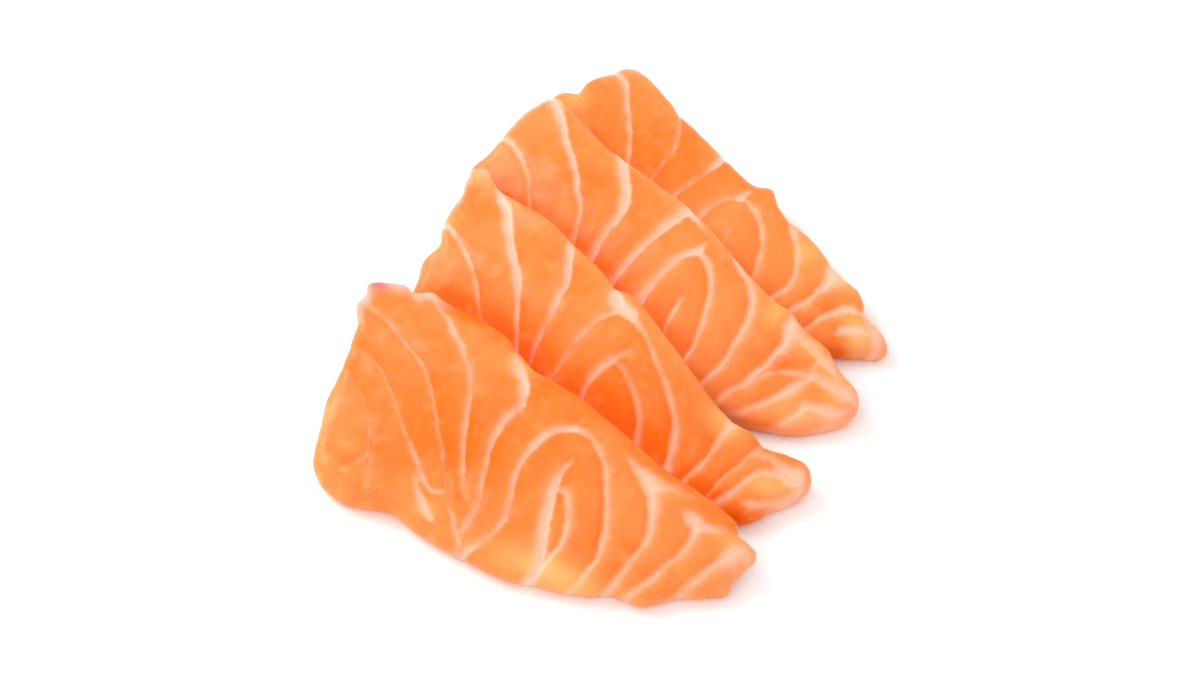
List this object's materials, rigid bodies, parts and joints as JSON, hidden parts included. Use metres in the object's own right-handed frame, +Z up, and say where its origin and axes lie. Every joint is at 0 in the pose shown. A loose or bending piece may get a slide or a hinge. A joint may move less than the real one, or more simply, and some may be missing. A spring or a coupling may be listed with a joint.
{
  "type": "salmon sashimi",
  "caption": "Raw salmon slices in a shingled fan, each leaning on the one behind, with pale fat lines between the flakes.",
  "frame": {"origin": "middle of the fan's bounding box, on the surface that it lies on", "axes": "+X along the slices to their narrow ends, +Y from the front slice to the back slice, +Z up"},
  "size_m": [0.0858, 0.0992, 0.0134],
  "materials": {
    "salmon_flesh": "satin"
  },
  "bodies": {
    "root": {"slice_front": "salmon_flesh", "slice_second": "salmon_flesh", "slice_third": "salmon_flesh", "slice_back": "salmon_flesh"}
  },
  "joints": []
}
